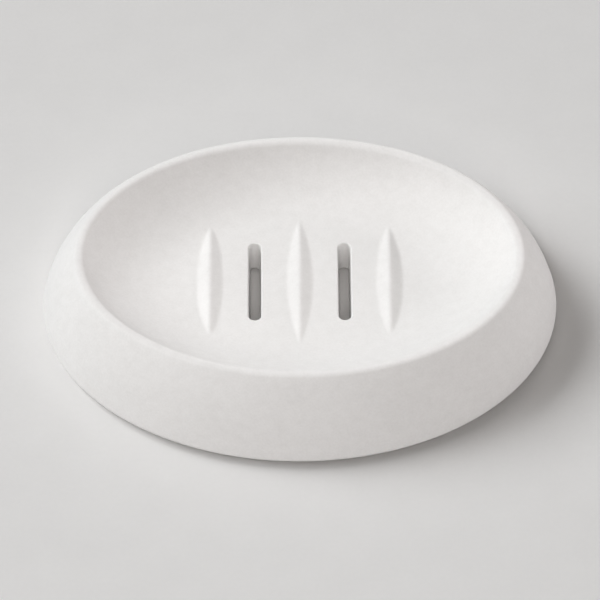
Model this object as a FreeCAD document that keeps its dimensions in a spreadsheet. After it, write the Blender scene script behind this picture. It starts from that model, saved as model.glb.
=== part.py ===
import FreeCAD, Part
import os

import Sketcher
from FreeCAD import Vector

# Oval soap dish: one casting with a bowl, ridges and drain slots, standing on four stuck-on pads.
# Millimetres and degrees. +Z is up, +X is the long way, the origin is on the counter under the middle.

# Driving dimensions, each written once
DIMENSIONS = {
    # Casting, over all
    "overall_length": 139.0,
    "overall_width": 106.4,
    "body_height": 21.9,
    "base_round": 1.3,
    "skirt_bulge": 1.0,
    # Rim, measured along its crest
    "crest_length": 118.2,
    "crest_width": 79.8,
    "rim_round": 1.85,
    # Bowl, with a flat oval floor that turns up into the wall
    "bowl_depth": 11.8,
    "floor_length": 61.6,
    "floor_width": 40.0,
    # Ridges that hold the soap off the floor
    "ridge_pitch": 24.2,
    "ridge_length": 41.0,
    "ridge_width": 7.0,
    "ridge_height": 1.7,
    "ridge_round": 1.2,
    # Drain slots, midway between the ridges
    "slot_length": 26.2,
    "slot_width": 3.5,
    "slot_draft": 2.4,
    # Pads and the adhesive discs that hold them in their recesses
    "pad_diameter": 12.0,
    "pad_thickness": 2.0,
    "pad_chamfer": 0.5,
    "pad_clearance": 0.25,
    "pad_inset": 26.0,
    "recess_depth": 1.0,
    "adhesive_thickness": 0.3,
    "adhesive_inset": 0.4,
}
RIDGE_COUNT = 3

# Bands in which the casting's round stretches are lofted, for the rim on each side of its crest
BASE_BANDS = 3
SKIRT_BANDS = 6
RIM_BANDS = 4
WALL_BANDS = 12

# Heights, in the order that the casting rises, as expressions on the sheet
UNDERSIDE = "(Sizes.pad_thickness + Sizes.adhesive_thickness - Sizes.recess_depth)"
BASE_LEVEL = f"({UNDERSIDE} + Sizes.base_round)"
RIM_TOP = f"({UNDERSIDE} + Sizes.body_height)"
RIM_LEVEL = f"({RIM_TOP} - Sizes.rim_round)"
FLOOR = f"({RIM_TOP} - Sizes.bowl_depth)"
CREST = f"({FLOOR} + Sizes.ridge_height)"

# Slope of the skirt, taken midway between the ends and the sides, and half the turn that its bulge makes
SKIRT_RUN = (
    "((Sizes.overall_length - Sizes.crest_length + Sizes.overall_width - Sizes.crest_width) / 4"
    " - Sizes.base_round)"
)
SKIRT_RISE = f"({RIM_LEVEL} - {BASE_LEVEL})"
SKIRT_SLOPE = f"atan2({SKIRT_RISE}; {SKIRT_RUN})"
SKIRT_TURN = f"(2 * atan(2 * Sizes.skirt_bulge / sqrt({SKIRT_RUN}^2 + {SKIRT_RISE}^2)))"
SKIRT_FOOT = f"({SKIRT_SLOPE} + {SKIRT_TURN})"
SKIRT_TOP = f"({SKIRT_SLOPE} - {SKIRT_TURN})"

# Arc across the bowl that leaves the floor level and meets the rim's round without a corner
WALL_RUN = "((Sizes.crest_width - Sizes.floor_width) / 2)"
WALL_RISE = "(Sizes.bowl_depth - Sizes.rim_round)"
WALL_RADIUS = f"(({WALL_RUN}^2 + {WALL_RISE}^2 - Sizes.rim_round^2) / (2 * Sizes.bowl_depth))"
WALL_SLOPE = f"atan2({WALL_RUN}; {WALL_RADIUS} - {WALL_RISE})"

# Arc along a ridge's crest, and the reach of the row of ridges and of the pads
CREST_RADIUS = "((Sizes.ridge_length^2 / 4 + Sizes.ridge_height^2) / (2 * Sizes.ridge_height))"
ROW_REACH = f"(Sizes.ridge_pitch * {(RIDGE_COUNT - 1) / 2})"
PAD_X = "(Sizes.overall_length / 2 - Sizes.pad_inset)"
PAD_Y = "(Sizes.overall_width / 2 - Sizes.pad_inset)"

# Corners where the pads sit, as signs of X and Y
CORNERS = {
    "front_left": (-1, -1),
    "front_right": (1, -1),
    "rear_left": (-1, 1),
    "rear_right": (1, 1),
}


def make_sheet(doc):
    """Write the driving dimensions to a spreadsheet, one alias each."""
    sheet = doc.addObject("Spreadsheet::Sheet", "Sizes")
    for row, (alias, number) in enumerate(DIMENSIONS.items(), start=1):
        sheet.set(f"A{row}", alias)
        sheet.set(f"B{row}", str(number))
        sheet.setAlias(f"B{row}", alias)
    doc.recompute()


def value(doc, expression):
    """Return the number that an expression on the sheet gives now."""
    return float(doc.Sizes.evalExpression(expression))


def origin_item(body, role):
    """Return the body's own origin plane or axis of the given role."""
    return next(item for item in body.Origin.OriginFeatures if item.Role == role)


def new_sketch(body, name, role, height=None):
    """Add a sketch on an origin plane of the body, lifted off it by an expression where one is given."""
    sketch = body.newObject("Sketcher::SketchObject", name)
    sketch.AttachmentSupport = [(origin_item(body, role), "")]
    sketch.MapMode = "FlatFace"
    if height:
        sketch.setExpression("AttachmentOffset.Base.z", height)
    return sketch


def feature(body, kind, name):
    """Add a feature to the body, left unrefined because refining would merge the loft's bands wrongly."""
    item = body.newObject(f"PartDesign::{kind}", name)
    item.Refine = False
    return item


def line(sketch, start, end, construction=False):
    """Draw a line between two points and return its number."""
    return sketch.addGeometry(Part.LineSegment(Vector(*start), Vector(*end)), construction)


def arc(sketch, start, through, end):
    """Draw an arc through three points and return its number."""
    return sketch.addGeometry(Part.Arc(Vector(*start), Vector(*through), Vector(*end)))


def relate(sketch, *constraints):
    """Add geometric constraints, each a kind and its references."""
    for kind, *references in constraints:
        sketch.addConstraint(Sketcher.Constraint(kind, *references))


def measure(sketch, kind, references, expression):
    """Add a measured constraint and bind it to an expression on the sheet."""
    start = value(sketch.Document, expression)
    index = sketch.addConstraint(Sketcher.Constraint(kind, *references, start))
    sketch.setExpression(f"Constraints[{index}]", expression)


def oval(doc, length, width, height):
    """Add an ellipse of the given half length and half width, centred on the Z axis at a height."""
    ellipse = doc.addObject("Part::Ellipse", "Oval")
    ellipse.setExpression("MajorRadius", length)
    ellipse.setExpression("MinorRadius", width)
    ellipse.setExpression("Placement.Base.z", height)
    return ellipse


def base_ovals(doc):
    """Draw the ovals round the lower edge, from the underside to the widest girth."""
    for band in range(BASE_BANDS + 1):
        turn = f"(90 deg * {band / BASE_BANDS - 1})"
        inset = f"Sizes.base_round * (1 - cos({turn}))"
        yield oval(
            doc,
            f"Sizes.overall_length / 2 - {inset}",
            f"Sizes.overall_width / 2 - {inset}",
            f"{BASE_LEVEL} + Sizes.base_round * sin({turn})",
        )


def blend(foot, top, share):
    """Write the expression for a value part of the way from the foot of the skirt to its top."""
    return f"({foot}) * (1 - {share}) + ({top}) * {share}"


def skirt_ovals(doc):
    """Draw the ovals up the skirt's bulge, from its foot to below its top."""
    inset = f"Sizes.base_round * (1 - sin({SKIRT_FOOT}))"
    lean = f"Sizes.rim_round * sin({SKIRT_TOP})"
    foot = f"{BASE_LEVEL} + Sizes.base_round * cos({SKIRT_FOOT})"
    top = f"{RIM_LEVEL} + Sizes.rim_round * cos({SKIRT_TOP})"
    for band in range(SKIRT_BANDS):
        turn = f"({SKIRT_TURN} * {2 * band / SKIRT_BANDS - 1})"
        share = f"(0.5 + sin({turn}) / (2 * sin({SKIRT_TURN})))"
        swell = f"Sizes.skirt_bulge * (cos({turn}) - cos({SKIRT_TURN})) / (1 - cos({SKIRT_TURN}))"
        out = f"{swell} * sin({SKIRT_SLOPE})"
        length = blend(f"Sizes.overall_length / 2 - {inset}", f"Sizes.crest_length / 2 + {lean}", share)
        width = blend(f"Sizes.overall_width / 2 - {inset}", f"Sizes.crest_width / 2 + {lean}", share)
        height = blend(foot, top, share)
        yield oval(doc, f"{length} + {out}", f"{width} + {out}", f"{height} + {swell} * cos({SKIRT_SLOPE})")


def rim_ovals(doc):
    """Draw the ovals over the rim, from the top of the skirt to the top of the bowl's wall."""
    for band in range(-RIM_BANDS, RIM_BANDS + 1):
        slope = SKIRT_TOP if band < 0 else WALL_SLOPE
        turn = f"({slope} * {-band / RIM_BANDS})"
        yield oval(
            doc,
            f"Sizes.crest_length / 2 + Sizes.rim_round * sin({turn})",
            f"Sizes.crest_width / 2 + Sizes.rim_round * sin({turn})",
            f"{RIM_LEVEL} + Sizes.rim_round * cos({turn})",
        )


def wall_ovals(doc):
    """Draw the ovals down the bowl's wall, from below the rim to the edge of the flat floor."""
    mouth = f"Sizes.crest_length / 2 - Sizes.rim_round * sin({WALL_SLOPE})"
    for band in range(WALL_BANDS - 1, -1, -1):
        turn = f"({WALL_SLOPE} * {band / WALL_BANDS})"
        share = f"(sin({turn}) / sin({WALL_SLOPE}))"
        yield oval(
            doc,
            f"Sizes.floor_length / 2 + ({mouth} - Sizes.floor_length / 2) * {share}",
            f"Sizes.floor_width / 2 + {WALL_RADIUS} * sin({turn})",
            f"{FLOOR} + {WALL_RADIUS} * (1 - cos({turn}))",
        )


def casting_block(doc):
    """Loft the casting in one sweep: up the skirt, over the rim and down the wall to the bowl's floor."""
    block = doc.addObject("Part::Loft", "CastingBlock")
    block.Sections = [*base_ovals(doc), *skirt_ovals(doc), *rim_ovals(doc), *wall_ovals(doc)]
    block.Solid = True
    block.Ruled = True
    doc.recompute()
    return block


def edges_at(shape, height):
    """Name the edges of a shape that lie flat at one height."""
    names = []
    for index, edge in enumerate(shape.Edges, start=1):
        box = edge.BoundBox
        if max(abs(box.ZMin - height), abs(box.ZMax - height)) < 1e-4:
            names.append(f"Edge{index}")
    return names


def ridge_section(doc, body):
    """Draw the first ridge's section: two sides, a rounded crest and the far axis that it turns about."""
    sketch = new_sketch(body, "RidgeSection", "XZ_Plane")
    middle = -value(doc, ROW_REACH)
    half = value(doc, "Sizes.ridge_width / 2")
    floor, crest = value(doc, FLOOR), value(doc, CREST)
    far = crest - value(doc, CREST_RADIUS)
    cap = value(doc, "Sizes.ridge_round / 2")
    shoulder = crest - cap / 2
    root = 2 * floor - crest
    left, right = middle - 2 * half, middle + 2 * half
    axis = line(sketch, (left, far), (right, far), construction=True)
    foot = line(sketch, (middle - half, floor), (middle + half, floor), construction=True)
    bottom = line(sketch, (left, root), (right, root))
    falling = line(sketch, (right, root), (middle + cap, shoulder))
    rising = line(sketch, (middle - cap, shoulder), (left, root))
    top = arc(sketch, (middle + cap, shoulder), (middle, crest), (middle - cap, shoulder))
    relate(
        sketch,
        ("Horizontal", bottom),
        ("Horizontal", foot),
        ("Horizontal", axis),
        ("Equal", falling, rising),
        ("Coincident", bottom, 2, falling, 1),
        ("Coincident", rising, 2, bottom, 1),
        ("Tangent", falling, 2, top, 1),
        ("Tangent", top, 2, rising, 1),
        ("PointOnObject", foot, 1, rising),
        ("PointOnObject", foot, 2, falling),
        ("Vertical", bottom, 1, axis, 1),
        ("Vertical", bottom, 2, axis, 2),
    )
    measure(sketch, "DistanceX", (foot, 1, foot, 2), "Sizes.ridge_width")
    measure(sketch, "DistanceY", (-1, 1, foot, 1), FLOOR)
    measure(sketch, "DistanceY", (-1, 1, bottom, 1), f"{FLOOR} - Sizes.ridge_height")
    measure(sketch, "Radius", (top,), "Sizes.ridge_round")
    measure(sketch, "DistanceY", (-1, 1, top, 3), f"{CREST} - Sizes.ridge_round")
    measure(sketch, "DistanceX", (top, 3, -1, 1), ROW_REACH)
    measure(sketch, "DistanceY", (axis, 1, -1, 1), f"{CREST_RADIUS} - {CREST}")
    return sketch


def add_ridges(doc, body):
    """Turn the ridge's section about its far axis, so that the crest arches, and repeat it along X."""
    ridge = feature(body, "Revolution", "Ridge")
    ridge.Profile = ridge_section(doc, body)
    ridge.ReferenceAxis = (ridge.Profile[0], ["Axis0"])
    ridge.Midplane = True
    ridge.setExpression("Angle", f"2 * asin((Sizes.ridge_length + Sizes.ridge_width) / 2 / {CREST_RADIUS})")
    doc.recompute()
    row = feature(body, "LinearPattern", "Ridges")
    row.Originals = [ridge]
    row.Direction = (origin_item(body, "X_Axis"), [""])
    row.setExpression("Length", f"2 * {ROW_REACH}")
    row.Occurrences = RIDGE_COUNT
    body.Tip = row
    doc.recompute()


def slot_outline(doc, body):
    """Draw one slot on the bowl's floor, with round ends, midway between two ridges."""
    sketch = new_sketch(body, "SlotOutline", "XY_Plane", FLOOR)
    middle = value(doc, "Sizes.ridge_pitch / 2")
    radius = value(doc, "Sizes.slot_width / 2")
    reach = value(doc, "Sizes.slot_length / 2") - radius
    left, right = middle - radius, middle + radius
    rear = arc(sketch, (right, reach), (middle, reach + radius), (left, reach))
    west = line(sketch, (left, reach), (left, -reach))
    front = arc(sketch, (left, -reach), (middle, -reach - radius), (right, -reach))
    east = line(sketch, (right, -reach), (right, reach))
    relate(
        sketch,
        ("Tangent", rear, 2, west, 1),
        ("Tangent", west, 2, front, 1),
        ("Tangent", front, 2, east, 1),
        ("Tangent", east, 2, rear, 1),
        ("Vertical", west),
        ("Symmetric", rear, 3, front, 3, -1),
    )
    measure(sketch, "Radius", (rear,), "Sizes.slot_width / 2")
    measure(sketch, "DistanceX", (-1, 1, rear, 3), "Sizes.ridge_pitch / 2")
    measure(sketch, "DistanceY", (front, 3, rear, 3), "Sizes.slot_length - Sizes.slot_width")
    return sketch


def cut_slots(doc, body):
    """Cut one slot through the floor, narrower below by its draft, and mirror it."""
    slot = feature(body, "Pocket", "Slot")
    slot.Profile = slot_outline(doc, body)
    slot.SideType = "Two sides"
    slot.setExpression("Length", f"{FLOOR} - {UNDERSIDE} + Sizes.slot_width")
    slot.setExpression("Length2", "Sizes.bowl_depth")
    slot.setExpression("TaperAngle", "-Sizes.slot_draft")
    doc.recompute()
    pair = feature(body, "Mirrored", "Slots")
    pair.Originals = [slot]
    pair.MirrorPlane = (origin_item(body, "YZ_Plane"), [""])
    body.Tip = pair
    doc.recompute()


def cut_recesses(doc, body):
    """Sink a round recess for each pad into the underside."""
    sketch = new_sketch(body, "RecessOutlines", "XY_Plane", UNDERSIDE)
    radius = "Sizes.pad_diameter / 2 + Sizes.pad_clearance"
    for side, end in CORNERS.values():
        centre = Vector(side * value(doc, PAD_X), end * value(doc, PAD_Y))
        ring = sketch.addGeometry(Part.Circle(centre, Vector(0, 0, 1), value(doc, radius)))
        measure(sketch, "Radius", (ring,), radius)
        measure(sketch, "DistanceX", (-1, 1, ring, 3), f"{side} * {PAD_X}")
        measure(sketch, "DistanceY", (-1, 1, ring, 3), f"{end} * {PAD_Y}")
    recesses = feature(body, "Pocket", "Recesses")
    recesses.Profile = sketch
    recesses.Reversed = True
    recesses.setExpression("Length", "Sizes.recess_depth")
    doc.recompute()


def dish_body(doc):
    """Build the casting: the lofted block, its ridges, its slots and its pad recesses."""
    body = doc.addObject("PartDesign::Body", "DishBody")
    body.Label = "dish_body"
    body.BaseFeature = casting_block(doc)
    doc.recompute()
    add_ridges(doc, body)
    for cut in (cut_slots, cut_recesses):
        before = body.Shape.Volume
        cut(doc, body)
        if body.Shape.Volume >= before:
            raise RuntimeError(f"{cut.__name__} removed nothing")
    return body


def place(item, corner, height):
    """Stand a piece at one pad corner, at a height."""
    side, end = CORNERS[corner]
    item.setExpression("Placement.Base.x", f"{side} * {PAD_X}")
    item.setExpression("Placement.Base.y", f"{end} * {PAD_Y}")
    item.setExpression("Placement.Base.z", height)


def foot(doc, corner):
    """Build one silicone pad, with its lower edge chamfered."""
    body = doc.addObject("PartDesign::Body", "Foot")
    body.Label = f"foot_{corner}"
    disc = feature(body, "AdditiveCylinder", "FootDisc")
    disc.setExpression("Radius", "Sizes.pad_diameter / 2")
    disc.setExpression("Height", "Sizes.pad_thickness")
    doc.recompute()
    chamfer = feature(body, "Chamfer", "FootChamfer")
    chamfer.Base = (disc, edges_at(disc.Shape, 0))
    chamfer.setExpression("Size", "Sizes.pad_chamfer")
    place(body, corner, "0")
    return body


def adhesive(doc, corner):
    """Build the adhesive disc between one pad and the ceiling of its recess."""
    disc = doc.addObject("Part::Cylinder", "Adhesive")
    disc.Label = f"adhesive_{corner}"
    disc.setExpression("Radius", "Sizes.pad_diameter / 2 - Sizes.adhesive_inset")
    disc.setExpression("Height", "Sizes.adhesive_thickness")
    place(disc, corner, "Sizes.pad_thickness")
    return disc


def check(doc, pieces):
    """Stop if any object failed or any piece is not one valid solid."""
    for item in doc.Objects:
        if {"Invalid", "Error"} & set(item.State):
            raise RuntimeError(f"{item.Label} failed: {item.State}")
    for piece in pieces:
        shape = piece.Shape
        if shape.isNull() or not shape.isValid() or len(shape.Solids) != 1:
            raise RuntimeError(f"{piece.Label} is not one valid solid")


def main():
    """Build the document and write one STEP file for each piece."""
    doc = FreeCAD.newDocument("SoapDish")
    make_sheet(doc)
    pieces = [dish_body(doc)]
    pieces += [foot(doc, corner) for corner in CORNERS]
    pieces += [adhesive(doc, corner) for corner in CORNERS]
    doc.recompute()
    check(doc, pieces)
    os.makedirs("parts", exist_ok=True)
    for piece in pieces:
        piece.Shape.exportStep(f"parts/{piece.Label}.step")
        print(f"{piece.Label}: {piece.Shape.Volume:.1f} mm3")


main()
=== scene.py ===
import logging
import math
from collections.abc import Mapping
from dataclasses import dataclass, field
from enum import Enum
from typing import Any, TypeAlias

import bpy
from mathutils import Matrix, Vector


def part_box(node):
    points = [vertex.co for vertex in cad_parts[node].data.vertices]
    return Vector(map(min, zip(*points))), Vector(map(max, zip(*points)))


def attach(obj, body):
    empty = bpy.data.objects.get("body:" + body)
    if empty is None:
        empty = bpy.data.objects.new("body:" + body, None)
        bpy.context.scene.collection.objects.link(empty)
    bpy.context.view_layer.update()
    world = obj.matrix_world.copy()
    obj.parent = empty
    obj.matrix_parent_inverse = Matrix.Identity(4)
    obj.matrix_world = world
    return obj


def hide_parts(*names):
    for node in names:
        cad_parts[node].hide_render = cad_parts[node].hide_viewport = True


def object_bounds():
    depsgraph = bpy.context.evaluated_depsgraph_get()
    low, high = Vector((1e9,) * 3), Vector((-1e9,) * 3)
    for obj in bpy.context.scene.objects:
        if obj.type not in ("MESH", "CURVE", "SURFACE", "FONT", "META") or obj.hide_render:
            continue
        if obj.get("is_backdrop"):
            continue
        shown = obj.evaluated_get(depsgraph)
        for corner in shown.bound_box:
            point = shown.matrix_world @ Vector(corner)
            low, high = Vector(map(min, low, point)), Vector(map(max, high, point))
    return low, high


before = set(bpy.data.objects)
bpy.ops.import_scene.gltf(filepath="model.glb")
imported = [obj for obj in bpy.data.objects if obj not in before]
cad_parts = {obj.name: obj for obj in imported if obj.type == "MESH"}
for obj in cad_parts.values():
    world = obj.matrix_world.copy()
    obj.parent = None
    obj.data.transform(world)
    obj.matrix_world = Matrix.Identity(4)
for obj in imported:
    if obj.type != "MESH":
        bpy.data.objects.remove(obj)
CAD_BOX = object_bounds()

# Oval soap dish in metres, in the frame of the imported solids: +X along the dish, +Z up, counter at zero.

log = logging.getLogger("soap_dish")

Number: TypeAlias = "Value | float"
Colour: TypeAlias = tuple[float, float, float]

BODY = "root"
IMAGE_SIDE = 600

# Edges that turn by more than this, in degrees, stay sharp
CREASE = 40.0
# Points nearer than this are one point
MERGE_DISTANCE = 1e-5
# Keeps a division from meeting zero
TINY = 1e-4

# Tints of the studio's lights
COOL: Colour = (0.985, 0.995, 1.0)
WARM: Colour = (1.0, 0.955, 0.953)
AMBER: Colour = (1.0, 0.955, 0.92)


class Slot(Enum):
    """Names of the materials of the new pieces; the code does not use this list."""

    CASTING = "cast_stone"
    PAD = "silicone"


class Corner(Enum):
    """Corners under the dish where a pad sits."""

    FRONT_LEFT = "front_left"
    FRONT_RIGHT = "front_right"
    REAR_LEFT = "rear_left"
    REAR_RIGHT = "rear_right"


class Value:
    """A socket of a node tree, on which Python's operators add Math nodes."""

    def __init__(self, tree: "Tree", socket: bpy.types.NodeSocket) -> None:
        """Wrap one output socket.

        Args:
            tree: Tree that the socket belongs to.
            socket: Output socket to wrap.
        """
        self.tree = tree
        self.socket = socket

    def math(self, operation: str, *others: Number) -> "Value":
        """Add a Math node with this value first.

        Args:
            operation: Name of the Math node's operation.
            *others: Second and third operands.

        Returns:
            The node's result.
        """
        return self.tree.math(operation, self, *others)

    def __add__(self, other: Number) -> "Value":
        """Return self + other."""
        return self.math("ADD", other)

    def __sub__(self, other: Number) -> "Value":
        """Return self - other."""
        return self.math("SUBTRACT", other)

    def __mul__(self, other: Number) -> "Value":
        """Return self * other."""
        return self.math("MULTIPLY", other)

    def __truediv__(self, other: Number) -> "Value":
        """Return self / other."""
        return self.math("DIVIDE", other)

    def __lt__(self, other: Number) -> "Value":
        """Return one where self < other, and zero elsewhere."""
        return self.math("LESS_THAN", other)

    def __rsub__(self, other: float) -> "Value":
        """Return other - self."""
        return self.tree.math("SUBTRACT", other, self)

    def __rtruediv__(self, other: float) -> "Value":
        """Return other / self."""
        return self.tree.math("DIVIDE", other, self)

    def __abs__(self) -> "Value":
        """Return the value without its sign."""
        return self.math("ABSOLUTE")

    __radd__ = __add__
    __rmul__ = __mul__

    def squared(self) -> "Value":
        """Return the value times itself."""
        return self * self

    def root(self) -> "Value":
        """Return the square root."""
        return self.math("SQRT")

    def within(self, low: Number, high: Number) -> "Value":
        """Return the value held between two limits.

        Args:
            low: Lower limit.
            high: Upper limit.

        Returns:
            The held value.
        """
        return self.math("MAXIMUM", low).math("MINIMUM", high)

    def share(self, start: float, count: float) -> "Value":
        """Return how far the value is through a stretch, from zero to one.

        Args:
            start: Where the stretch starts.
            count: How long the stretch is.

        Returns:
            Zero before the stretch, one after it.
        """
        return ((self - start) / count).within(0.0, 1.0)


class Tree:
    """A node tree that grows by one method, and by expressions on its values."""

    def __init__(self, nodes: bpy.types.NodeTree) -> None:
        """Wrap a node tree.

        Args:
            nodes: Shader or geometry tree to add nodes to.
        """
        self.nodes = nodes

    def add(
        self,
        kind: str,
        settings: Mapping[str, Any] | None = None,
        inputs: Mapping[str | int, Any] | None = None,
        outputs: tuple[str | int, ...] = (0,),
    ) -> Any:
        """Add one node, with its settings first and its sockets after them.

        Args:
            kind: Type name of the node.
            settings: Properties of the node, such as its operation.
            inputs: A number, a link or a list of links for each socket, by name or place.
            outputs: Names or places of the outputs that are wanted.

        Returns:
            The wanted output, or a tuple of them.
        """
        node = self.nodes.nodes.new(kind)
        for name, setting in (settings or {}).items():
            setattr(node, name, setting)
        for name, given in (inputs or {}).items():
            for item in given if isinstance(given, list) else [given]:
                if isinstance(item, Value):
                    self.nodes.links.new(item.socket, node.inputs[name])
                else:
                    node.inputs[name].default_value = item
        wanted = tuple(Value(self, node.outputs[name]) for name in outputs)
        return wanted[0] if len(wanted) == 1 else wanted

    def math(self, operation: str, *operands: Number) -> Value:
        """Add a Math node.

        Args:
            operation: Name of the operation.
            *operands: Its operands in order.

        Returns:
            The node's result.
        """
        return self.add("ShaderNodeMath", {"operation": operation}, dict(enumerate(operands)))

    def vector(self, x: Number, y: Number, z: Number) -> Value:
        """Join three numbers to a vector.

        Args:
            x: First component.
            y: Second component.
            z: Third component.

        Returns:
            The vector.
        """
        return self.add("ShaderNodeCombineXYZ", inputs={0: x, 1: y, 2: z})


class ShapeTree(Tree):
    """A Geometry Nodes tree with named sizes, turned into a plain mesh once it is built."""

    def __init__(self, name: str, sizes: Mapping[str, float]) -> None:
        """Start a tree that has one input for each size.

        Args:
            name: Name of the tree and of the piece.
            sizes: Value of each named input.
        """
        super().__init__(bpy.data.node_groups.new(name, "GeometryNodeTree"))
        self.name = name
        self.sizes = sizes
        self.sockets = {}
        for word in sizes:
            self.sockets[word] = self.nodes.interface.new_socket(
                name=word, in_out="INPUT", socket_type="NodeSocketFloat"
            )
        self.nodes.interface.new_socket(
            name="Mesh", in_out="OUTPUT", socket_type="NodeSocketGeometry"
        )
        values = self.add("NodeGroupInput", outputs=tuple(sizes) + (len(sizes),))
        self.size = dict(zip(sizes, values))

    def place(self) -> tuple[Value, Value, Value]:
        """Return the X, Y and Z of each point."""
        position = self.add("GeometryNodeInputPosition")
        return self.add("ShaderNodeSeparateXYZ", inputs={0: position}, outputs=(0, 1, 2))

    def move(self, mesh: Value, position: Value) -> Value:
        """Set the points of a mesh.

        Args:
            mesh: Mesh to reshape.
            position: New place of each point.

        Returns:
            The reshaped mesh.
        """
        return self.add(
            "GeometryNodeSetPosition", inputs={"Geometry": mesh, "Position": position}
        )

    def grid(self, size: tuple[Number, Number], cells: tuple[int, int]) -> Value:
        """Add a flat grid about the origin.

        Args:
            size: Its sides along X and Y.
            cells: Count of cells along X and Y.

        Returns:
            The grid's mesh.
        """
        return self.add(
            "GeometryNodeMeshGrid",
            inputs={
                "Size X": size[0],
                "Size Y": size[1],
                "Vertices X": cells[0] + 1,
                "Vertices Y": cells[1] + 1,
            },
        )

    def tube(self, around: int, levels: int) -> Value:
        """Add a closed tube of unit radius, with its levels one apart from zero upwards.

        Args:
            around: Count of points round it.
            levels: Count of bands up it.

        Returns:
            The tube's mesh.
        """
        mesh = self.add(
            "GeometryNodeMeshCylinder",
            {"fill_type": "NGON"},
            {"Vertices": around, "Side Segments": levels, "Radius": 1.0, "Depth": float(levels)},
        )
        lift = self.vector(0.0, 0.0, levels / 2)
        return self.add("GeometryNodeSetPosition", inputs={"Geometry": mesh, "Offset": lift})

    def repeat(self, mesh: Value, points: Value) -> Value:
        """Set a copy of a mesh on each point and make the copies real.

        Args:
            mesh: Mesh to repeat.
            points: Mesh whose points carry the copies.

        Returns:
            All copies as one mesh.
        """
        copies = self.add(
            "GeometryNodeInstanceOnPoints", inputs={"Points": points, "Instance": mesh}
        )
        return self.add("GeometryNodeRealizeInstances", inputs={"Geometry": copies})

    def flip(self, mesh: Value) -> Value:
        """Turn the faces of a mesh round."""
        return self.add("GeometryNodeFlipFaces", inputs={"Mesh": mesh})

    def join(self, *meshes: Value) -> Value:
        """Put meshes together as one."""
        return self.add("GeometryNodeJoinGeometry", inputs={"Geometry": list(meshes)})

    def finish(self, mesh: Value, crease: float, material: bpy.types.Material) -> bpy.types.Object:
        """End the tree, evaluate it and keep the result as a plain object.

        Args:
            mesh: Mesh that the tree gives.
            crease: Angle in degrees over which an edge stays sharp.
            material: Material of every face.

        Returns:
            The finished object, at the origin.
        """
        mesh = self.add("GeometryNodeRealizeInstances", inputs={"Geometry": mesh})
        mesh = self.add(
            "GeometryNodeSetShadeSmooth",
            {"domain": "FACE"},
            {"Geometry": mesh, "Shade Smooth": True},
        )
        angle = self.add("GeometryNodeInputMeshEdgeAngle")
        mesh = self.add(
            "GeometryNodeSetShadeSmooth",
            {"domain": "EDGE"},
            {"Geometry": mesh, "Shade Smooth": angle < math.radians(crease)},
        )
        mesh = self.add(
            "GeometryNodeSetMaterial", inputs={"Geometry": mesh, "Material": material}
        )
        self.add("NodeGroupOutput", inputs={0: mesh}, outputs=())
        return self._evaluate(material)

    def _evaluate(self, material: bpy.types.Material) -> bpy.types.Object:
        """Run the tree on an empty mesh and take its result.

        Args:
            material: Material that the result carries.

        Returns:
            An object with a plain mesh and no modifier.
        """
        piece = bpy.data.objects.new(self.name, bpy.data.meshes.new(self.name))
        bpy.context.scene.collection.objects.link(piece)
        modifier = piece.modifiers.new(self.name, "NODES")
        modifier.node_group = self.nodes
        for word, number in self.sizes.items():
            modifier[self.sockets[word].identifier] = number
        graph = bpy.context.evaluated_depsgraph_get()
        mesh = bpy.data.meshes.new_from_object(piece.evaluated_get(graph))
        piece.modifiers.remove(modifier)
        piece.data = mesh
        if not mesh.materials:
            mesh.materials.append(material)
        return piece


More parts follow.
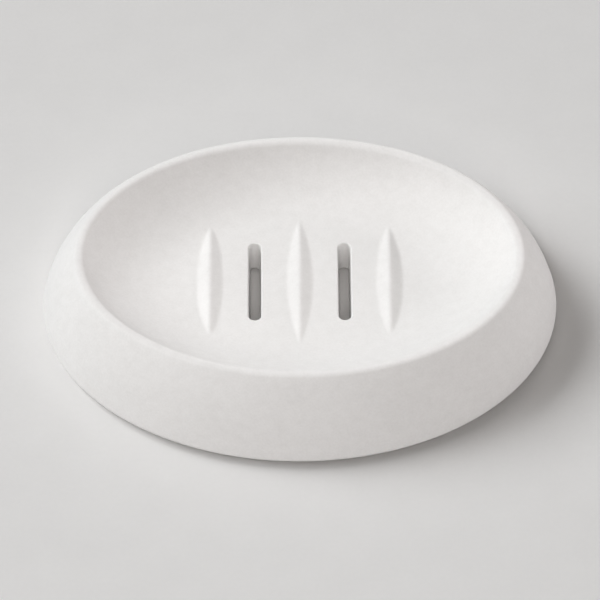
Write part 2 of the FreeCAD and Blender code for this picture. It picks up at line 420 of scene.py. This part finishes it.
class ShaderTree(Tree):
    """A material's tree, with the noises that the finishes are mixed from."""

    def __init__(self, name: str) -> None:
        """Start a material with an empty tree.

        Args:
            name: Name of the material.
        """
        self.material = bpy.data.materials.new(name)
        self.material.use_nodes = True
        super().__init__(self.material.node_tree)
        self.nodes.nodes.clear()
        self.point = self.add("ShaderNodeTexCoord", outputs=("Object",))

    def noise(self, size: float, detail: float = 2.0, roughness: float = 0.5) -> Value:
        """Add a cloudy noise.

        Args:
            size: Breadth of its clouds in metres.
            detail: Count of finer layers.
            roughness: Strength of the finer layers.

        Returns:
            A number about one half.
        """
        return self.add(
            "ShaderNodeTexNoise",
            {"noise_dimensions": "3D"},
            {"Vector": self.point, "Scale": 1 / size, "Detail": detail, "Roughness": roughness},
            ("Fac",),
        )

    def dots(self, spacing: float, radius: float, rarity: float) -> Value:
        """Scatter soft round dots, each with its own size, and none in most cells.

        Args:
            spacing: Mean distance between cells in metres.
            radius: Radius of the largest dot in metres.
            rarity: Share of the cells without a dot.

        Returns:
            One in the middle of a dot, zero away from it.
        """
        distance, shade = self.add(
            "ShaderNodeTexVoronoi",
            {"feature": "F1"},
            {"Vector": self.point, "Scale": 1 / spacing, "Randomness": 1.0},
            ("Distance", "Color"),
        )
        chance = self.add("ShaderNodeSeparateColor", inputs={0: shade}, outputs=(0,))
        reach = chance.share(rarity, 1 - rarity) * (radius / spacing)
        return (1 - distance / (reach + TINY)).within(0.0, 1.0)

    def blend(self, share: Value, first: Colour, second: Colour) -> Value:
        """Mix two colours.

        Args:
            share: Share of the second colour.
            first: Colour at zero.
            second: Colour at one.

        Returns:
            The mixed colour.
        """
        return self.add(
            "ShaderNodeMix",
            {"data_type": "RGBA"},
            {0: share, 6: (*first, 1.0), 7: (*second, 1.0)},
            (2,),
        )

    def bump(self, height: Value, depth: float, strength: float = 1.0) -> Value:
        """Turn a height into a shaded relief.

        Args:
            height: Height as a share of the depth.
            depth: Real depth of the relief in metres.
            strength: Share of the relief that shows.

        Returns:
            The normal.
        """
        return self.add(
            "ShaderNodeBump",
            inputs={"Height": height, "Distance": depth, "Strength": strength},
            outputs=("Normal",),
        )

    def surface(self, constants: Mapping[str, Any], **linked: Value) -> bpy.types.Material:
        """Close the tree with a Principled surface.

        Args:
            constants: Sockets that are the same all over.
            **linked: Links to Base Color, Roughness and Normal, in lower case with underscores.

        Returns:
            The finished material.
        """
        links = {word.replace("_", " ").title(): link for word, link in linked.items()}
        shader = self.add("ShaderNodeBsdfPrincipled", inputs={**constants, **links})
        self.add("ShaderNodeOutputMaterial", inputs={"Surface": shader}, outputs=())
        return self.material


@dataclass(frozen=True)
class CastStone:
    """Matte white casting: faint clouds, a sandy grain and a few pinholes, painted darker as shade in the
    pits.
    """

    pale: Colour = (0.841, 0.838, 0.830)
    deep: Colour = (0.756, 0.751, 0.740)
    shade: float = 0.3
    roughness: float = 0.84
    roughness_spread: float = 0.25
    relief: float = 0.00004
    cloud_size: float = 0.016
    cloud_tone: float = 0.6
    grain_size: float = 0.0006
    grain_tone: float = 1.0
    grain_height: float = 0.6
    coarse_size: float = 0.0024
    coarse_tone: float = 0.75
    coarse_height: float = 0.5
    pinhole_spacing: float = 0.0042
    pinhole_radius: float = 0.00022
    pinhole_rarity: float = 0.55
    pinhole_painted_shade: float = 0.6
    pinhole_depth: float = 1.6

    def material(self) -> bpy.types.Material:
        """Mix the casting's material.

        Returns:
            The finished material.
        """
        tree = ShaderTree("cast_stone")
        clouds = tree.noise(self.cloud_size, 4.0, 0.6) - 0.5
        grain = tree.noise(self.grain_size, 3.0, 0.65) - 0.5
        coarse = tree.noise(self.coarse_size, 2.0) - 0.5
        pinholes = tree.dots(self.pinhole_spacing, self.pinhole_radius, self.pinhole_rarity)
        tone = clouds * self.cloud_tone + grain * self.grain_tone + coarse * self.coarse_tone
        # Pinholes take the deeper colour as painted shade in the pits; their dip in the bump is real
        # relief
        shade = (self.shade - tone + pinholes * self.pinhole_painted_shade).within(0.0, 1.0)
        rough = (self.roughness + grain * self.roughness_spread).within(0.55, 1.0)
        height = (
            grain * self.grain_height
            + coarse * self.coarse_height
            - pinholes * self.pinhole_depth
        )
        return tree.surface(
            {"IOR": 1.45, "Specular IOR Level": 0.35},
            base_color=tree.blend(shade, self.pale, self.deep),
            roughness=rough,
            normal=tree.bump(height, self.relief),
        )


@dataclass(frozen=True)
class Silicone:
    """Milky silicone with a faint moulded haze."""

    pale: Colour = (0.74, 0.74, 0.72)
    deep: Colour = (0.64, 0.64, 0.62)
    haze: float = 0.0028
    grain: float = 0.0004
    relief: float = 0.00002
    roughness: float = 0.42
    roughness_spread: float = 0.2

    def material(self) -> bpy.types.Material:
        """Mix the pads' material.

        Returns:
            The finished material.
        """
        tree = ShaderTree("silicone")
        haze = tree.noise(self.haze, 3.0)
        grain = tree.noise(self.grain, 2.0)
        return tree.surface(
            {"IOR": 1.41},
            base_color=tree.blend(haze.within(0.0, 1.0), self.pale, self.deep),
            roughness=(self.roughness + (grain - 0.5) * self.roughness_spread).within(0.2, 0.8),
            normal=tree.bump(grain, self.relief),
        )


@dataclass(frozen=True)
class AdhesiveFoam:
    """White foam adhesive with small open cells, painted darker inside as shade."""

    pale: Colour = (0.86, 0.85, 0.82)
    deep: Colour = (0.72, 0.70, 0.66)
    cell_spacing: float = 0.00035
    cell_radius: float = 0.000245
    cell_rarity: float = 0.1
    relief: float = 0.00006
    roughness: float = 0.9
    cell_polish: float = 0.15

    def material(self) -> bpy.types.Material:
        """Mix the adhesive's material.

        Returns:
            The finished material.
        """
        tree = ShaderTree("adhesive_foam")
        cells = tree.dots(self.cell_spacing, self.cell_radius, self.cell_rarity)
        return tree.surface(
            {"IOR": 1.45},
            # The open cells take the deeper colour as painted shade inside them
            base_color=tree.blend(cells, self.pale, self.deep),
            roughness=self.roughness - cells * self.cell_polish,
            normal=tree.bump(1 - cells, self.relief),
        )


@dataclass(frozen=True)
class Counter:
    """Pale matte counter with barely visible clouds."""

    pale: Colour = (0.925, 0.919, 0.914)
    deep: Colour = (0.855, 0.849, 0.844)
    cloud_size: float = 0.012
    cloud_share: float = 0.6
    grain_size: float = 0.0012
    roughness: float = 0.75
    roughness_spread: float = 0.2

    def material(self) -> bpy.types.Material:
        """Mix the floor's material.

        Returns:
            The finished material.
        """
        tree = ShaderTree("counter")
        clouds, grain = tree.noise(self.cloud_size, 4.0), tree.noise(self.grain_size, 2.0)
        tone = clouds * self.cloud_share + grain * (1 - self.cloud_share)
        return tree.surface(
            {"IOR": 1.45, "Specular IOR Level": 0.2},
            base_color=tree.blend(tone.within(0.0, 1.0), self.pale, self.deep),
            roughness=(self.roughness + tone * self.roughness_spread).within(0.0, 1.0),
        )


@dataclass
class Casting:
    """The dish itself: skirt, rolled rim, bowl, ridges, drain slots and pad recesses."""

    base_round: float = 0.0013
    skirt_bulge: float = 0.001
    crest_length: float = 0.1182
    crest_width: float = 0.0798
    rim_round: float = 0.00185
    bowl_depth: float = 0.0118
    floor_width: float = 0.040
    ridge_pitch: float = 0.0242
    ridge_length: float = 0.041
    ridge_width: float = 0.007
    ridge_height: float = 0.0017
    ridge_round: float = 0.0012
    ridge_softness: float = 0.0005
    slot_length: float = 0.0262
    slot_width: float = 0.0035
    slot_draft: float = 2.4
    slot_lip: float = 0.00035
    slot_lip_turn: float = 80.0
    slot_lip_bands: int = 6
    slot_points: int = 64
    recess_radius: float = 0.00625
    recess_depth: float = 0.001
    recess_points: int = 96
    pad_middle: tuple[float, float] = (0.0435, 0.0272)
    cutter_overrun: float = 0.001
    cutter_flare: float = 0.00005
    wall_limit: float = 0.999
    columns_per_pitch: int = 80
    block_columns: int = 192
    block_rows: int = 84
    block_reach: float = 0.0222
    finish: CastStone = field(default_factory=CastStone)

    def __post_init__(self) -> None:
        """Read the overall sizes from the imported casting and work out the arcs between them."""
        low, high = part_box("dish_body")
        self.half_length = min(-low.x, high.x)
        self.half_width = min(-low.y, high.y)
        self.underside = low.z
        self.top = high.z
        self.base_level = self.underside + self.base_round
        self.rim_level = self.top - self.rim_round
        self.floor = self.top - self.bowl_depth
        self.crest = self.floor + self.ridge_height
        spare = self.half_length + self.half_width - (self.crest_length + self.crest_width) / 2
        run, rise = spare / 2 - self.base_round, self.rim_level - self.base_level
        self.skirt_slope = math.atan2(rise, run)
        self.skirt_turn = 2 * math.atan(2 * self.skirt_bulge / math.hypot(run, rise))
        run, rise = (self.crest_width - self.floor_width) / 2, self.bowl_depth - self.rim_round
        reach = run**2 + rise**2 - self.rim_round**2
        self.wall_radius = reach / (2 * self.bowl_depth)
        self.wall_slope = math.atan2(run, self.wall_radius - rise)
        inset = self.rim_round * math.sin(self.wall_slope)
        self.narrowing = (self.crest_width / 2 - inset) / (self.crest_length / 2 - inset)
        self.crest_radius = (self.ridge_length**2 / 4 + self.ridge_height**2) / (2 * self.ridge_height)
        centre = self.ridge_height - self.ridge_round
        half = self.ridge_width / 2
        self.ridge_slope = math.atan2(centre, half) + math.asin(
            self.ridge_round / math.hypot(centre, half)
        )

    def sizes(self) -> dict[str, float]:
        """List the named inputs of the casting's tree.

        Returns:
            Each input's value by its name.
        """
        return {
            "Half Length": self.half_length,
            "Half Width": self.half_width,
            "Underside": self.underside,
            "Base Level": self.base_level,
            "Base Round": self.base_round,
            "Crest Half Length": self.crest_length / 2,
            "Crest Half Width": self.crest_width / 2,
            "Rim Level": self.rim_level,
            "Rim Round": self.rim_round,
            "Skirt Top": self.skirt_slope - self.skirt_turn,
            "Skirt Foot": self.skirt_slope + self.skirt_turn,
            "Skirt Turn": self.skirt_turn,
            "Bulge Out": self.skirt_bulge * math.sin(self.skirt_slope),
            "Bulge Up": self.skirt_bulge * math.cos(self.skirt_slope),
            "Wall Slope": self.wall_slope,
            "Wall Radius": self.wall_radius,
            "Bowl Narrowing": self.narrowing,
            "Floor": self.floor,
            "Floor Half Width": self.floor_width / 2,
            "Ridge Pitch": self.ridge_pitch,
            "Ridge Crest": self.crest,
            "Ridge Round": self.ridge_round,
            "Ridge Slope": math.tan(self.ridge_slope),
            "Ridge Crown": self.ridge_round * math.sin(self.ridge_slope),
            "Ridge Axis": self.crest - self.crest_radius,
            "Ridge Softness": self.ridge_softness,
            "Slot Half Width": self.slot_width / 2,
            "Slot Reach": (self.slot_length - self.slot_width) / 2,
            "Slot Draft": math.tan(math.radians(self.slot_draft)),
            "Slot Lip": self.slot_lip,
            "Recess Radius": self.recess_radius,
            "Recess Ceiling": self.underside + self.recess_depth,
        }

    def build(self) -> bpy.types.Object:
        """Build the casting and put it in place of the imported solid.

        Returns:
            The casting's object.
        """
        tree = ShapeTree("dish_casting", self.sizes())
        block = self.block_columns, self.block_rows
        reach = self.block_columns / self.columns_per_pitch * self.ridge_pitch / 2, self.block_reach
        plan = tree.grid((reach[0] * 2, reach[1] * 2), block)
        x, y, _ = tree.place()
        bowl = tree.move(plan, tree.vector(x, y, self._height(tree, x, y)))
        under = tree.flip(tree.move(plan, tree.vector(x, y, tree.size["Underside"])))
        ring = self._ring(tree, block, reach)
        shell = tree.add(
            "GeometryNodeMergeByDistance",
            inputs={"Geometry": tree.join(bowl, ring, under), "Distance": MERGE_DISTANCE},
        )
        cut = tree.add(
            "GeometryNodeMeshBoolean",
            {"operation": "DIFFERENCE", "solver": "MANIFOLD"},
            {"Mesh 1": shell, "Mesh 2": [self._slots(tree), self._recesses(tree)]},
        )
        piece = tree.finish(cut, CREASE, self.finish.material())
        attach(piece, BODY)
        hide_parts("dish_body")
        return piece

    def _height(self, tree: ShapeTree, x: Value, y: Value) -> Value:
        """Give the bowl's height: a flat floor, a round wall, and ridges softly joined to both.

        Args:
            tree: The casting's tree.
            x: Place along the dish.
            y: Place across the dish.

        Returns:
            Height over the counter.
        """
        size = tree.size
        out = ((x * size["Bowl Narrowing"]).squared() + y.squared()).root()
        run = (out - size["Floor Half Width"]).within(0.0, self.wall_radius * self.wall_limit)
        radius = size["Wall Radius"]
        bowl = size["Floor"] + radius - (radius.squared() - run.squared()).root()
        row = (x / size["Ridge Pitch"]).math("ROUND").within(-1.0, 1.0)
        away = abs(x - row * size["Ridge Pitch"])
        crown = away.math("MINIMUM", size["Ridge Crown"])
        fall = size["Ridge Round"] - (size["Ridge Round"].squared() - crown.squared()).root()
        profile = size["Ridge Crest"] - fall - size["Ridge Slope"] * (away - crown)
        axis = size["Ridge Axis"]
        ridge = axis + ((profile - axis).squared() - y.squared()).root()
        return bowl.math("SMOOTH_MAX", ridge, size["Ridge Softness"])

    def _ring(self, tree: ShapeTree, block: tuple[int, int], reach: tuple[float, float]) -> Value:
        """Sweep the ring round the middle block: wall, rim, skirt, lower edge and underside.

        Args:
            tree: The casting's tree.
            block: Cells of the middle block along X and Y.
            reach: Half sides of the middle block.

        Returns:
            The ring's mesh, with its faces outwards.
        """
        size = tree.size
        wide, deep = block
        rows = {"wall": 26, "rim": 14, "skirt": 12, "edge": 8, "under": 6}
        around, down = 2 * (wide + deep), sum(rows.values())
        strip = tree.grid((float(around), float(down)), (around, down))
        u, v, _ = tree.place()
        step, row = u + around / 2, v + down / 2
        shares, start = {}, 0
        for word, count in rows.items():
            shares[word] = row.share(start, count)
            start += count
        along = step.within(0.0, wide) - (step - (wide + deep)).within(0.0, wide)
        across = (step - wide).within(0.0, deep) - (step - (2 * wide + deep)).within(0.0, deep)
        block_x = along * (2 * reach[0] / wide) - reach[0]
        block_y = across * (2 * reach[1] / deep) - reach[1]
        turn = block_y.math("ARCTAN2", block_x * size["Bowl Narrowing"])

        lean = shares["rim"] * (size["Wall Slope"] + size["Skirt Top"]) - size["Wall Slope"]
        tuck = math.pi / 2 - size["Skirt Foot"] - shares["edge"] * (math.pi - size["Skirt Foot"])
        rim_out = size["Rim Round"] * lean.math("SINE")
        rim_up = size["Rim Level"] + size["Rim Round"] * lean.math("COSINE")
        edge_out = size["Base Round"] * (tuck.math("COSINE") - 1)
        edge_up = size["Base Level"] + size["Base Round"] * tuck.math("SINE")
        bend, half_bend = size["Skirt Turn"] * (1 - shares["skirt"] * 2), size["Skirt Turn"]
        down_skirt = (1 - bend.math("SINE") / half_bend.math("SINE")) / 2
        flat = half_bend.math("COSINE")
        swell = (bend.math("COSINE") - flat) / (1 - flat)
        bulge = swell * size["Bulge Out"]

        def outline(crest: Value, girth: Value) -> Value:
            """Return the half axis of each row's oval, from its crest and its girth."""
            upper = crest + rim_out
            return upper + (girth + edge_out - upper) * down_skirt + bulge

        across_share = shares["wall"] * (1 - shares["under"])
        far_x = outline(size["Crest Half Length"], size["Half Length"]) * turn.math("COSINE")
        far_y = outline(size["Crest Half Width"], size["Half Width"]) * turn.math("SINE")
        x = block_x + (far_x - block_x) * across_share
        y = block_y + (far_y - block_y) * across_share
        outside = rim_up + (edge_up - rim_up) * down_skirt + swell * size["Bulge Up"]
        inside = self._height(tree, x, y)
        in_bowl = row < rows["wall"] - 0.5
        height = outside + (inside - outside) * in_bowl
        return tree.flip(tree.move(strip, tree.vector(x, y, height)))

    def _slots(self, tree: ShapeTree) -> Value:
        """Shape the drain slots' cutters: round ends, a draft and a softened upper lip.

        Args:
            tree: The casting's tree.

        Returns:
            Both cutters.
        """
        size = tree.size
        lip_bands = self.slot_lip_bands
        x, y, level = tree.place()
        floor, lip = size["Floor"], size["Slot Lip"]
        below = size["Underside"] - self.cutter_overrun
        climb, above = level.share(0.0, 1.0), level.share(1.0 + lip_bands, 1.0)
        flare = level.share(1.0, lip_bands) * math.radians(self.slot_lip_turn)
        depth = floor - lip - below
        lift = lip * flare.math("SINE") + above * self.cutter_overrun
        height = below + depth * climb + lift
        radius = (
            size["Slot Half Width"]
            - size["Slot Draft"] * depth * (1 - climb)
            + lip * (1 - flare.math("COSINE"))
            + above * self.cutter_flare
        )
        end = y.math("SIGN") * size["Slot Reach"]
        cutter = tree.move(
            tree.tube(self.slot_points, lip_bands + 2),
            tree.vector(x * radius, y * radius + end, height),
        )
        middles = tree.add(
            "GeometryNodeMeshLine",
            inputs={
                "Count": 2,
                "Start Location": tree.vector(size["Ridge Pitch"] * -0.5, 0.0, 0.0),
                "Offset": tree.vector(size["Ridge Pitch"], 0.0, 0.0),
            },
        )
        return tree.repeat(cutter, middles)

    def _recesses(self, tree: ShapeTree) -> Value:
        """Shape the cutters of the round recesses that hold the pads.

        Args:
            tree: The casting's tree.

        Returns:
            All four cutters.
        """
        size = tree.size
        x, y, level = tree.place()
        below = size["Underside"] - self.cutter_overrun
        height = below + (size["Recess Ceiling"] - below) * level
        radius = size["Recess Radius"]
        cutter = tree.move(
            tree.tube(self.recess_points, 1), tree.vector(x * radius, y * radius, height)
        )
        corners = tree.grid((2 * self.pad_middle[0], 2 * self.pad_middle[1]), (1, 1))
        return tree.repeat(cutter, corners)


@dataclass
class PadSet:
    """The silicone pads that the dish stands on, with rounded lower edges."""

    edge_round: float = 0.0005
    around: int = 96
    edge_bands: int = 7
    finish: Silicone = field(default_factory=Silicone)

    def build(self) -> bpy.types.Object:
        """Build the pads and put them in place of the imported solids.

        Returns:
            One object with all pads.
        """
        nodes = [f"foot_{corner.value}" for corner in Corner]
        low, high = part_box(f"foot_{Corner.REAR_RIGHT.value}")
        middle = (low + high) / 2
        tree = ShapeTree(
            "foot_pads",
            {
                "Radius": (high.x - low.x) / 2,
                "Thickness": high.z - low.z,
                "Edge Round": self.edge_round,
            },
        )
        size = tree.size
        x, y, level = tree.place()
        turn = level.share(0.0, self.edge_bands) * (math.pi / 2)
        rise = level.share(self.edge_bands, 1.0)
        radius = size["Radius"] - size["Edge Round"] * (1 - turn.math("SINE"))
        curl = size["Edge Round"] * (1 - turn.math("COSINE"))
        height = curl + (size["Thickness"] - size["Edge Round"]) * rise
        pad = tree.move(
            tree.tube(self.around, self.edge_bands + 1),
            tree.vector(x * radius, y * radius, height),
        )
        corners = tree.grid((middle.x * 2, middle.y * 2), (1, 1))
        piece = tree.finish(tree.repeat(pad, corners), CREASE, self.finish.material())
        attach(piece, BODY)
        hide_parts(*nodes)
        return piece


@dataclass
class GlueSet:
    """The adhesive discs between the pads and the casting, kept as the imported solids."""

    finish: AdhesiveFoam = field(default_factory=AdhesiveFoam)

    def dress(self) -> list[bpy.types.Object]:
        """Give each packed disc its finish.

        Returns:
            The dressed discs.
        """
        material = self.finish.material()
        discs = [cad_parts[f"adhesive_{corner.value}"] for corner in Corner]
        for disc in discs:
            disc.data.materials.clear()
            disc.data.materials.append(material)
        return discs


@dataclass
class Softbox:
    """A rectangular studio light that looks at the dish."""

    name: str
    azimuth: float
    elevation: float
    distance: float
    size: tuple[float, float]
    power: float
    tint: Colour
    flagged: bool = False

    def build(self, shaded: bpy.types.Collection) -> bpy.types.Object:
        """Hang the light.

        Args:
            shaded: What a flag in front of the light keeps in its shade.

        Returns:
            The light's object.
        """
        lamp = bpy.data.lights.new(self.name, "AREA")
        lamp.shape = "RECTANGLE"
        lamp.size, lamp.size_y = self.size
        lamp.energy = self.power
        lamp.color = self.tint
        turn, rise = math.radians(self.azimuth), math.radians(self.elevation)
        aim = Vector(
            (math.cos(rise) * math.cos(turn), math.cos(rise) * math.sin(turn), math.sin(rise))
        )
        light = bpy.data.objects.new(self.name, lamp)
        light.visible_camera = False
        light.location = aim * self.distance
        light.rotation_euler = aim.to_track_quat("Z", "Y").to_euler()
        if self.flagged:
            light.light_linking.receiver_collection = shaded
        bpy.context.scene.collection.objects.link(light)
        return light


@dataclass
class Studio:
    """Counter, soft light and the camera."""

    floor_side: float = 6.0
    sky: float = 0.02
    backdrop: float = 0.62
    camera_turn: float = 0.3
    camera_rise: float = 52.0
    camera_distance: float = 1.1942
    camera_aim: tuple[float, float, float] = (0.00006, 0.0, 0.0032)
    focal_pixels: float = 4408.8
    sensor: float = 36.0
    finish: Counter = field(default_factory=Counter)
    lights: tuple[Softbox, ...] = (
        Softbox("key", 150.0, 40.0, 6.4, (2.8, 2.8), 232.0, COOL),
        Softbox("left_window", 180.0, 38.0, 6.4, (2.8, 2.8), 101.0, COOL),
        Softbox("front_strip", -90.0, 50.0, 1.6, (0.2, 0.9), 5.6, AMBER),
        Softbox("rear_strip", 90.0, 62.0, 1.6, (0.2, 0.9), 1.6, AMBER),
        Softbox("front_fill", -90.0, 45.0, 1.6, (1.2, 1.2), 5.5, WARM, flagged=True),
        Softbox("right_fill", 20.0, 25.0, 1.6, (0.8, 0.5), 1.5, WARM, flagged=True),
        Softbox("low_rear_fill", 40.0, 14.0, 1.6, (1.2, 0.5), 9.2, WARM, flagged=True),
        Softbox("low_front_fill", -45.0, 20.0, 1.6, (1.2, 0.5), 3.3, WARM, flagged=True),
    )

    def build(self) -> None:
        """Lay the counter, hang the lights and set the camera up."""
        shaded = bpy.data.collections.new("shaded_counter")
        shaded.objects.link(self._counter())
        shaded.collection_objects[0].light_linking.link_state = "EXCLUDE"
        for light in self.lights:
            light.build(shaded)
        self._sky()
        self._camera()
        bpy.context.scene.view_settings.view_transform = "Standard"

    def _counter(self) -> bpy.types.Object:
        """Lay the plain pale counter.

        Returns:
            The counter's object.
        """
        half = self.floor_side / 2
        mesh = bpy.data.meshes.new("counter")
        corners = [(-half, -half, 0.0), (half, -half, 0.0), (half, half, 0.0), (-half, half, 0.0)]
        mesh.from_pydata(corners, [], [(0, 1, 2, 3)])
        mesh.materials.append(self.finish.material())
        counter = bpy.data.objects.new("counter", mesh)
        bpy.context.scene.collection.objects.link(counter)
        counter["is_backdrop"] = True
        return counter

    def _sky(self) -> None:
        """Fill the room with a little even light, in front of a pale backdrop."""
        world = bpy.data.worlds.new("studio")
        world.use_nodes = True
        tree = Tree(world.node_tree)
        tree.nodes.nodes.clear()
        seen = tree.add("ShaderNodeLightPath", outputs=("Is Camera Ray",))
        strength = self.sky + seen * (self.backdrop - self.sky)
        light = tree.add("ShaderNodeBackground", inputs={"Strength": strength})
        tree.add("ShaderNodeOutputWorld", inputs={"Surface": light}, outputs=())
        bpy.context.scene.world = world

    def _camera(self) -> None:
        """Set the camera at the photograph's viewing angle."""
        lens = bpy.data.cameras.new("camera")
        lens.sensor_width = self.sensor
        lens.lens = self.focal_pixels / IMAGE_SIDE * self.sensor
        camera = bpy.data.objects.new("camera", lens)
        turn, rise = math.radians(self.camera_turn), math.radians(self.camera_rise)
        back = Vector((-math.sin(turn), -math.cos(turn), math.tan(rise))).normalized()
        camera.location = Vector(self.camera_aim) + back * self.camera_distance
        camera.rotation_euler = back.to_track_quat("Z", "Y").to_euler()
        bpy.context.scene.collection.objects.link(camera)
        bpy.context.scene.camera = camera


def write_sizes() -> None:
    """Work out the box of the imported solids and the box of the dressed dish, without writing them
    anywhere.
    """
    boxes = {"cad": CAD_BOX, "visual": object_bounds()}
    plain = {word: [list(map(float, corner)) for corner in box] for word, box in boxes.items()}


def main() -> None:
    """Build the dish and its studio, and report each piece."""
    logging.basicConfig(level=logging.INFO, format="%(name)s: %(message)s")
    for assembly in (Casting(), PadSet()):
        piece = assembly.build()
        log.info("%s: %d faces", piece.name, len(piece.data.polygons))
    for disc in GlueSet().dress():
        log.info("%s: dressed", disc.name)
    Studio().build()
    write_sizes()


if __name__ == "__main__":
    main()
